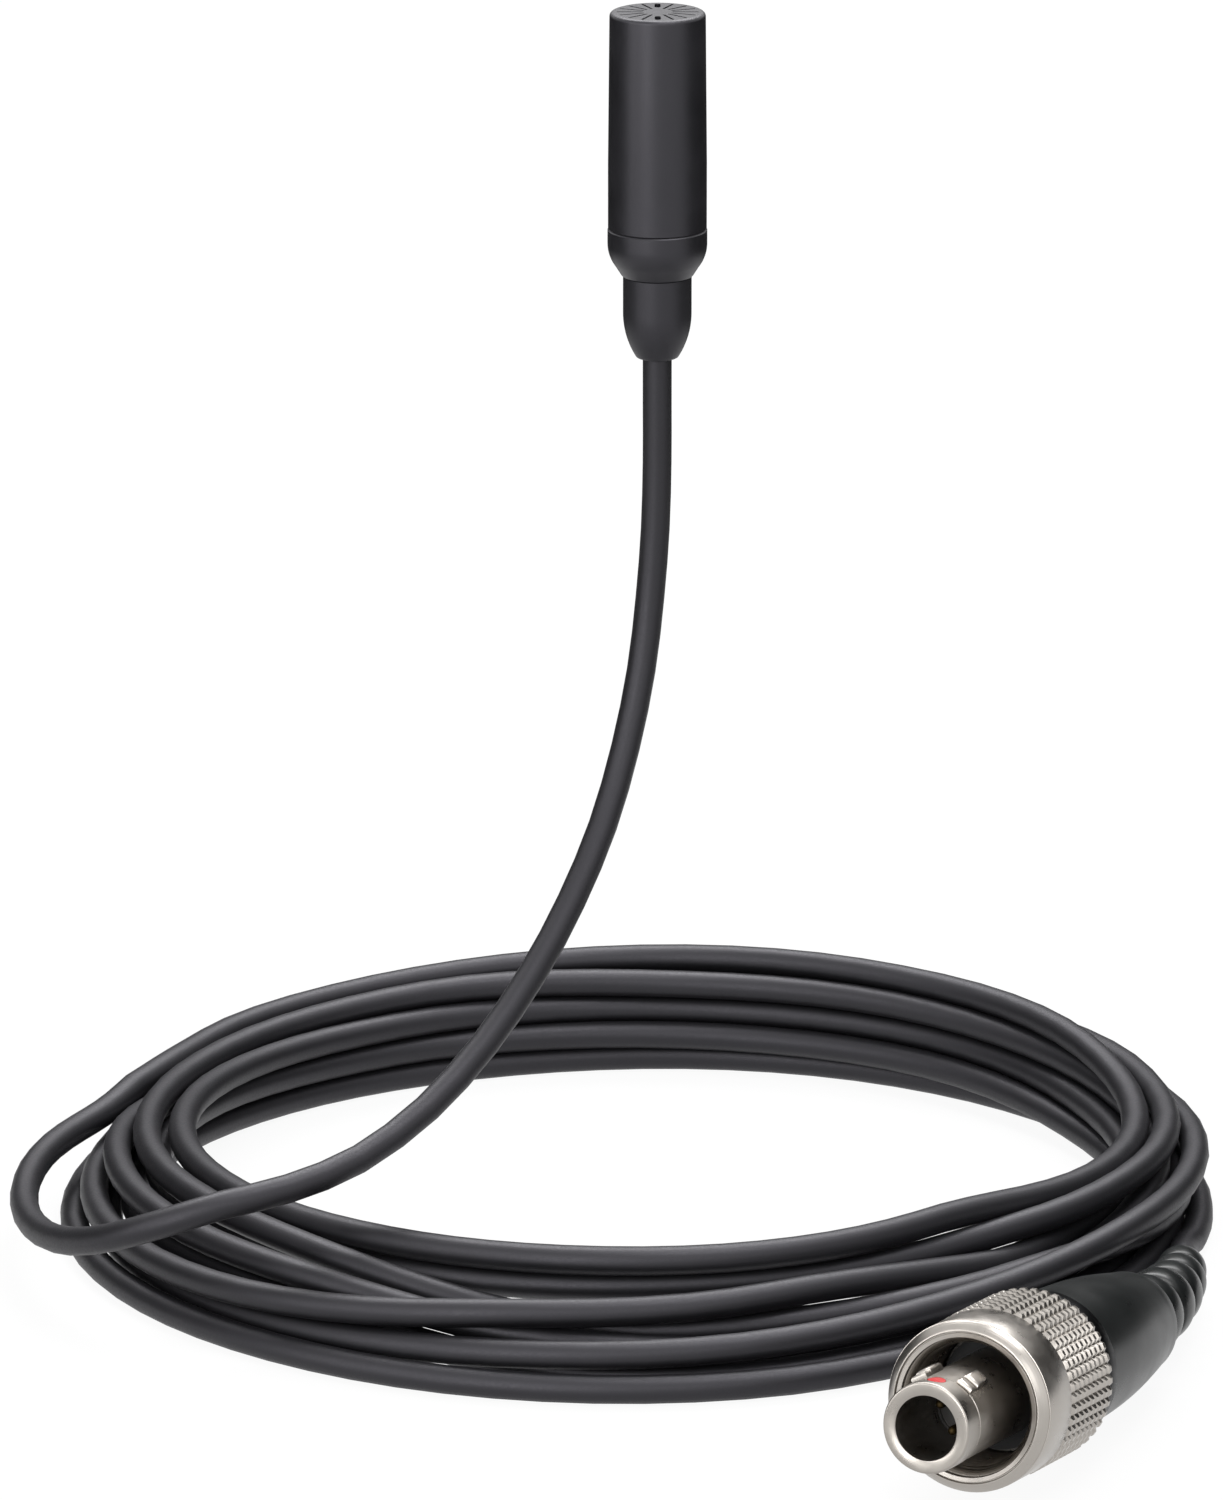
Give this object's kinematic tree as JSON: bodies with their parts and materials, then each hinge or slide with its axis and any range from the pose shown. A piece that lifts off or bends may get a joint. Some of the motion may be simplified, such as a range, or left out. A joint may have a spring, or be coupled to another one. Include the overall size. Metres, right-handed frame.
{
  "type": "lavalier microphone",
  "caption": "Sub-miniature lavalier microphone: slim cylindrical capsule with a pull-off grille cap, thin coiled cord and a miniature plug with a screw coupling ring.",
  "frame": {"origin": "centre of the neck that a clip grips, on the capsule's axis", "axes": "+Z along the capsule's axis, out through the grille; -Z is the way the cord leaves; +X and +Y span the surface that the coil and plug lie on"},
  "size_m": [0.068, 0.0871, 0.0718],
  "materials": {
    "cap_plastic": "fine matt black moulding",
    "housing_plastic": "fine matt black moulding",
    "screen_mesh": "woven acoustic mesh",
    "nickel_brass": "nickel-plated brass, turned",
    "seal_rubber": "moulded rubber",
    "relief_rubber": "satin black elastomer",
    "brass": "turned brass",
    "gold_film": "metallised film",
    "film_plastic": "amber film",
    "white_plastic": "moulded, natural white",
    "board_green": "solder-masked board",
    "chip_black": "moulded package",
    "wire_red": "insulated wire",
    "cord_jacket": "satin black elastomer jacket",
    "nickel_plate": "satin nickel plate on brass",
    "red_enamel": "red enamel fill",
    "insert_black": "moulded insulator",
    "gold_plate": "gold-plated contact",
    "nut_black": "black anodised",
    "boot_rubber": "satin black elastomer"
  },
  "bodies": {
    "microphone": {"housing_tube": "nickel_brass", "cap_seal": "seal_rubber", "rear_housing": "housing_plastic", "strain_relief": "relief_rubber", "crimp_ferrule": "brass", "capsule_can": "nickel_brass", "front_diaphragm_ring": "brass", "front_diaphragm": "gold_film", "front_spacer": "film_plastic", "backplate": "brass", "rear_spacer": "film_plastic", "rear_diaphragm": "gold_film", "rear_diaphragm_ring": "brass", "insulator_ring": "white_plastic", "contact_sleeve": "brass", "circuit_board": "board_green", "fet": "chip_black", "capsule_gasket": "seal_rubber", "head_wires": "wire_red", "cord_lead": "cord_jacket", "cord_coil": "cord_jacket", "cord_tail": "cord_jacket", "plug_shell": "nickel_plate", "guide_keys": "nickel_plate", "index_dot": "red_enamel", "contact_insert": "insert_black", "contact_pins": "gold_plate", "plug_wires": "wire_red", "nose_seal": "seal_rubber", "plug_body": "nickel_brass", "collet": "brass", "back_nut": "nut_black", "boot": "boot_rubber", "bend_relief": "boot_rubber"},
    "cap": {"protective_cap": "cap_plastic", "cap_screen": "screen_mesh"},
    "ring": {"coupling_ring": "nickel_plate"}
  },
  "joints": [
    {"name": "cap_slide", "type": "slide", "parent": "microphone", "child": "cap", "axis": [0, 0, 1], "range_m": [0, 0.012]},
    {"name": "coupling_spin", "type": "hinge", "parent": "microphone", "child": "ring", "pos_m": [0.01641, -0.04913, -0.04985], "axis": [-0.4207, -0.9021, 0.0958], "continuous": true}
  ]
}
